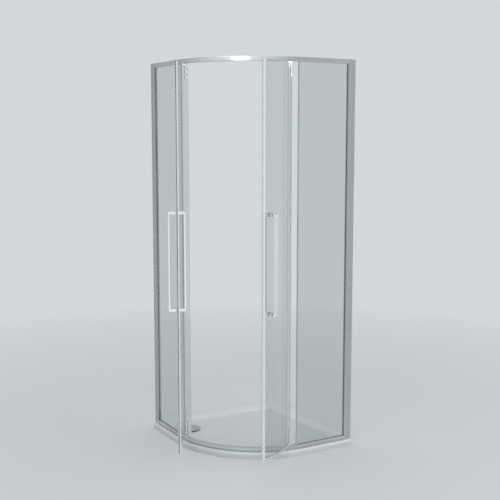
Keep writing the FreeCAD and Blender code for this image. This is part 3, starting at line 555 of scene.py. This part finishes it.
def arc_points(centre, radius, first, last):
    """Points on an arc between two angles in degrees."""
    turns = [math.radians(first + (last - first) * step / ROUND_STEPS) for step in range(ROUND_STEPS + 1)]
    return [(centre[0] + radius * math.cos(turn), centre[1] + radius * math.sin(turn)) for turn in turns]


def prism(outline, place, across, along, height):
    """An upright prism: the outline's points lie on two level axes, and it stands on a place."""
    foot = [place + x * across + y * along for x, y in outline]
    head = [point + height * UP for point in foot]
    return skinned(foot + head, len(outline))


def swept(section, stations):
    """A closed bar: its section's points lie out from and above each station of a path."""
    points = []
    for place, outward in stations:
        points += [place + x * outward + z * UP for x, z in section]
    return skinned(points, len(section))


def turned(rings):
    """A closed turned shape about the Z axis: each ring has a height, and a radius or a radius by angle."""
    points = []
    for height, radius in rings:
        for step in range(SCREW_SIDES):
            turn = math.tau * step / SCREW_SIDES
            reach = radius(turn) if callable(radius) else radius
            points.append(Vector((reach * math.cos(turn), reach * math.sin(turn), height)))
    return skinned(points, SCREW_SIDES)


def placed(shape, place, axis):
    """A shape set down at a place, with its Z axis turned to an axis."""
    turn = axis.to_track_quat("Z", "Y").to_matrix().to_4x4()
    move = Matrix.Translation(place) @ turn
    points, faces = shape
    return [move @ point for point in points], faces


def rail_foot_seal_and_shade():
    """The soft seal that closes the joint between the bottom rail and the tray, on the outside; its dark
    band also paints the shade in that joint.
    """
    low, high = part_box("bottom_rail")
    centre = Vector((*ARC_CENTRE, low.z + FOOT_SEAL_GAP))
    radius = ARC_CENTRE.x - low.x
    quarter = math.pi / 2
    turns = [-quarter - quarter * step / FOOT_SEAL_STEPS for step in range(FOOT_SEAL_STEPS + 1)]
    arc = [(centre + radius * direction(turn).to_3d(), direction(turn).to_3d()) for turn in turns]
    first = (Vector((high.x, low.y, centre.z)), -ALONG_Y)
    last = (Vector((low.x, high.y, centre.z)), -ALONG_X)
    section = [(-FOOT_SEAL_SINK, 0), (FOOT_SEAL_THICK, 0)]
    section += arc_points((0, FOOT_SEAL_HEIGHT - FOOT_SEAL_THICK), FOOT_SEAL_THICK, 0, 90)
    section += [(-FOOT_SEAL_SINK, FOOT_SEAL_HEIGHT)]
    piece("rail_foot_seal_and_shade", [swept(section, [first, *arc, last])], "rubber", "frame")


def strip_outline():
    """The strip's section: two clip legs, a rounded nose, and a notch for the magnet at its end."""
    inner, outer = MAGNET_SPAN
    floor = STRIP_NOSE - MAGNET_DEPTH
    corner = STRIP_HALF - STRIP_ROUND
    shoulder = STRIP_NOSE - STRIP_ROUND
    right_leg = [(STRIP_SLOT, -STRIP_CLIP)]
    right_leg += arc_points((corner, STRIP_ROUND - STRIP_CLIP), STRIP_ROUND, -90, 0)
    nose = arc_points((corner, shoulder), STRIP_ROUND, 0, 90)
    nose += [(outer, STRIP_NOSE), (outer, floor), (inner, floor), (inner, STRIP_NOSE)]
    nose += arc_points((-corner, shoulder), STRIP_ROUND, 90, 180)
    left_leg = arc_points((-corner, STRIP_ROUND - STRIP_CLIP), STRIP_ROUND, 180, 270)
    left_leg += [(-STRIP_SLOT, -STRIP_CLIP)]
    slot = [(-STRIP_SLOT, STRIP_SEAT), (STRIP_SLOT, STRIP_SEAT)]
    return right_leg + nose + left_leg + slot


def magnet_outline():
    """The magnet bar in the strip's notch, with eased front corners."""
    inner, outer = MAGNET_SPAN[0] + MAGNET_PLAY, MAGNET_SPAN[1] - MAGNET_PLAY
    floor = STRIP_NOSE - MAGNET_DEPTH + MAGNET_PLAY
    eased = STRIP_NOSE - MAGNET_ROUND
    front = arc_points((outer - MAGNET_ROUND, eased), MAGNET_ROUND, 0, 90)
    front += arc_points((inner + MAGNET_ROUND, eased), MAGNET_ROUND, 90, 180)
    return [(inner, floor), (outer, floor)] + front


def magnetic_strip(side, magnet_side, magnet_look):
    """The strip on a door's leading edge, and the magnet bar along it."""
    door = doors[side]
    low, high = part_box(f"{side}_magnetic_strip")
    place = door.point(door.edge, 0, low.z)
    across = magnet_side * door.outward(door.edge)
    along = door.forward(door.edge)
    height = high.z - low.z
    body = f"{side}_door"
    strip = prism(strip_outline(), place, across, along, height)
    bar = prism(magnet_outline(), place, across, along, height)
    made = piece(f"{side}_strip_profile", [strip], "strip", body)
    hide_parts(f"{side}_magnetic_strip")
    piece(f"{side}_strip_magnet", [bar], magnet_look, body)


def hexagon(turn):
    """Radius of a hexagon key's outline."""
    sixth = math.pi / 3
    return HEX_KEY / 2 / math.cos((turn + sixth / 2) % sixth - sixth / 2)


def cross(turn):
    """Radius of a cross recess's outline."""
    quarter = math.pi / 2
    away = abs((turn + quarter / 2) % quarter - quarter / 2)
    return min(CROSS_REACH / math.cos(away), CROSS_HALF_WIDTH / max(math.sin(away), TINY))


def screw(head_radius, head_height, shank_radius, length, recess, recess_depth, dome=0.0):
    """A screw along Z with its head's seat at zero: shank, eased head and the recess for its key."""
    ease = HEAD_EASE * head_height
    return turned([
        (-length, TIP_RADIUS * shank_radius),
        (-length + TIP_LENGTH * shank_radius, shank_radius),
        (0, shank_radius),
        (0, head_radius),
        (head_height - dome - ease, head_radius),
        (head_height - dome, head_radius - ease),
        (head_height, HEAD_TOP * head_radius),
        (head_height, recess),
        (head_height - recess_depth, recess),
    ])


def hinge_bolts(side):
    """The hexagon socket screws that clamp a door's hinges on its glass, with heads on the inner side."""
    door = doors[side]
    low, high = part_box(f"{side}_hinge_screws")
    first = low.z + HINGE_HEAD_RADIUS
    last = high.z - HINGE_HEAD_RADIUS
    seat = HINGE_FACE - HINGE_HEAD_HEIGHT
    bolt = screw(
        HINGE_HEAD_RADIUS, HINGE_HEAD_HEIGHT, HINGE_SHANK_RADIUS,
        length=seat + HINGE_SCREW_END, recess=hexagon, recess_depth=HEX_DEPTH,
    )
    levels = (first, first + HINGE_SCREW_SPACING, last - HINGE_SCREW_SPACING, last)
    bolts = [placed(bolt, door.point(0, -seat, level), -door.outward(0)) for level in levels]
    made = piece(f"{side}_hinge_bolts", bolts, "steel", f"{side}_door")
    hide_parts(f"{side}_hinge_screws")


def pan_heads(side, axis):
    """The pan head screws with a cross recess that lock a stile on its wall channel, from inside."""
    low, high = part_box(f"{side}_stile_screws")
    middle = (low + high) / 2
    thickness = abs((high - low).dot(axis))
    radius = abs((high - low).dot(axis.cross(UP))) / 2
    seat = middle + axis * (thickness / 2 - STILE_HEAD_HEIGHT)
    pan = screw(
        radius, STILE_HEAD_HEIGHT, STILE_SHANK_RADIUS,
        length=thickness - STILE_HEAD_HEIGHT, recess=cross, recess_depth=CROSS_DEPTH,
        dome=PAN_DOME * STILE_HEAD_HEIGHT,
    )
    levels = (low.z + radius, middle.z, high.z - radius)
    pans = [placed(pan, Vector((seat.x, seat.y, height)), axis) for height in levels]
    made = piece(f"{side}_stile_pan_heads", pans, "steel", "frame")
    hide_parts(f"{side}_stile_screws")


def studio_tone(tree, vector):
    """How bright the studio is in a direction: grey, and brighter towards its screens."""
    tone = STUDIO_TONE
    for side, gain, focus in STUDIO_SCREENS:
        facing = measure(tree, "DOT_PRODUCT", vector, direction(side).to_3d())
        positive = calculate(tree, "MAXIMUM", facing, 0.0)
        power = calculate(tree, "POWER", positive, focus)
        tone = calculate(tree, "MULTIPLY_ADD", power, gain, tone)
    return tone


def surrounding_glow(tree, path, tone, elsewhere):
    """A strength by ray: the studio's tone in reflections, the backdrop's through glass, or another."""
    strength = choose(tree, path.outputs["Is Glossy Ray"], elsewhere, tone)
    # A reflection that is seen through glass shows the studio too
    through = choose(tree, path.outputs["Glossy Depth"], BACKDROP, tone)
    return choose(tree, path.outputs["Is Transmission Ray"], strength, through)


def stage_floor():
    """A pale floor that keeps the object's shadow and fades into the backdrop."""
    bpy.ops.mesh.primitive_circle_add(vertices=FLOOR_SIDES, radius=FLOOR_RADIUS, fill_type="NGON")
    floor = bpy.context.object
    floor.name = "floor"
    floor.location.z = -FLOOR_DROP
    material, tree, shader = new_material("pale_floor")
    shader.inputs["Base Color"].default_value = FLOOR_COLOUR
    shader.inputs["Roughness"].default_value = FLOOR_ROUGHNESS
    shader.inputs["Specular IOR Level"].default_value = FLOOR_SHINE
    path = node(tree, "ShaderNodeLightPath")
    place = node(tree, "ShaderNodeTexCoord").outputs["Object"]
    way = node(tree, "ShaderNodeVectorMath", operation="NORMALIZE")
    tree.links.new(place, way.inputs[0])
    tone = studio_tone(tree, way.outputs["Vector"])
    glow = node(tree, "ShaderNodeEmission", Color=COOL_WHITE)
    tree.links.new(surrounding_glow(tree, path, tone, BACKDROP), glow.inputs["Strength"])
    fade = spread(tree, measure(tree, "LENGTH", place), FLOOR_GLOW, 1.0, *FLOOR_FADE)
    reach = measure(tree, "DISTANCE", place, ARC_CENTRE.to_3d())
    mirrored_fade = spread(tree, reach, 0.0, 1.0, *MIRRORED_FLOOR_FADE)
    share = choose(tree, path.outputs["Is Glossy Ray"], fade, mirrored_fade)
    share = choose(tree, path.outputs["Is Transmission Ray"], share, fade)
    share = choose(tree, path.outputs["Is Diffuse Ray"], share, 0.0)
    mix_shaders(tree, share, shader.outputs["BSDF"], glow.outputs["Emission"])
    floor.data.materials.append(material)


def sky():
    """The backdrop for the camera and through glass, the studio in reflections, and soft light elsewhere."""
    world = bpy.data.worlds.new("studio")
    bpy.context.scene.world = world
    world.use_nodes = True
    tree = world.node_tree
    tree.nodes.clear()
    path = node(tree, "ShaderNodeLightPath")
    tone = studio_tone(tree, node(tree, "ShaderNodeTexCoord").outputs["Generated"])
    strength = surrounding_glow(tree, path, tone, SKY)
    strength = choose(tree, path.outputs["Is Camera Ray"], strength, BACKDROP)
    shade = node(tree, "ShaderNodeBackground", Color=COOL_WHITE)
    tree.links.new(strength, shade.inputs["Strength"])
    out = node(tree, "ShaderNodeOutputWorld")
    tree.links.new(shade.outputs["Background"], out.inputs["Surface"])


def lamp(name, place, target, size, power, mirrored=True):
    """A soft rectangular lamp that points at a target; it shows in reflections alone, or nowhere."""
    light = bpy.data.lights.new(name, "AREA")
    light.shape = "RECTANGLE"
    light.size, light.size_y = size
    light.energy = power
    item = bpy.data.objects.new(name, light)
    item.location = place
    item.rotation_euler = (Vector(target) - Vector(place)).to_track_quat("-Z", "Y").to_euler()
    item.visible_camera = False
    item.visible_transmission = False
    item.visible_glossy = mirrored
    bpy.context.scene.collection.objects.link(item)


def camera():
    """The camera at the photograph's standpoint."""
    data = bpy.data.cameras.new("camera")
    data.lens = CAMERA_LENS
    data.sensor_width = SENSOR_WIDTH
    item = bpy.data.objects.new("camera", data)
    item.location = CAMERA_PLACE
    item.rotation_euler = (math.radians(90 - CAMERA_PITCH), 0, math.radians(-CAMERA_YAW))
    bpy.context.scene.collection.objects.link(item)
    bpy.context.scene.camera = item


for name, part in nodes.items():
    dress(name, part)

# The magnets lie on opposite halves of the two strips, so that they meet when the doors are shut
# Painted light and shade: the right magnet wears a paler copy of the seal and the left one the dark seal,
# though the two are alike
magnetic_strip("right", -1, "painted_light_seal")
magnetic_strip("left", 1, "seal")
rail_foot_seal_and_shade()
hinge_bolts("right")
hinge_bolts("left")
pan_heads("right", ALONG_Y)
pan_heads("left", ALONG_X)

stage_floor()
sky()
lamp("key", place=(-2.4, -2.8, 4.2), target=(0, 0, 0.9), size=(2.0, 2.0), power=20)
lamp("fill", place=(1.6, -4.0, 1.4), target=(0.1, -0.4, 0.6), size=(2.0, 2.0), power=36, mirrored=False)
lamp("top", place=(0.3, 0.9, 4.4), target=(0, 0, 0.5), size=(2.0, 2.0), power=25)
lamp("softbox", place=(-3.14, -2.69, 1.5), target=(0, 0, 1.3), size=(1.1, 2.4), power=22)
camera()
bpy.context.scene.view_settings.view_transform = "Standard"
